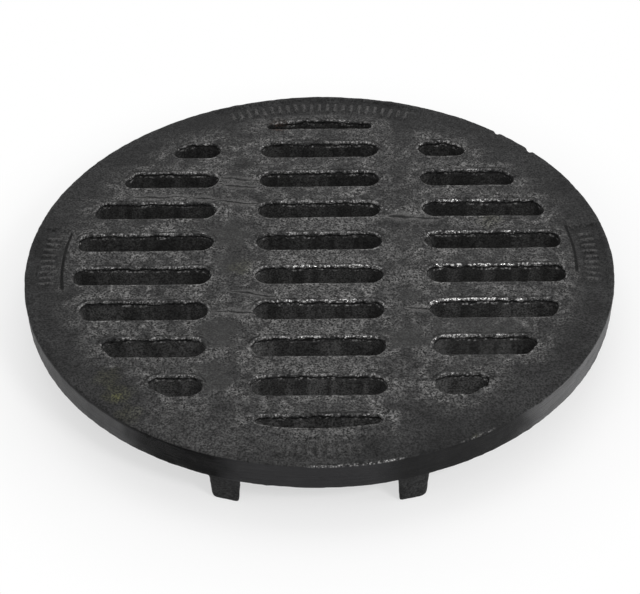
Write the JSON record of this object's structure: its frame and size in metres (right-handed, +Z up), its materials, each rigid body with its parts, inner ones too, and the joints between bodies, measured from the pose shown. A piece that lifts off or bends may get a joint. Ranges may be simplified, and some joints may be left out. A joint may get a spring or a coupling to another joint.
{
  "type": "gully grate",
  "caption": "Round cast-iron gully grate with a slotted walking face, sunk fields in its rim and locating lugs below; it drops into a round frame and lets surface water drain.",
  "frame": {"origin": "middle of the plane that the four lugs' feet lie in, on the axis of the round rim", "axes": "+Z is up, out of the walking face; the slots run along X; the long sunk field is at +Y and a short one at -Y"},
  "size_m": [0.5, 0.5, 0.0505],
  "materials": {
    "cast_iron_black": "rough as cast with a worn black bitumen coat"
  },
  "bodies": {
    "root": {"grate": "cast_iron_black"}
  },
  "joints": []
}
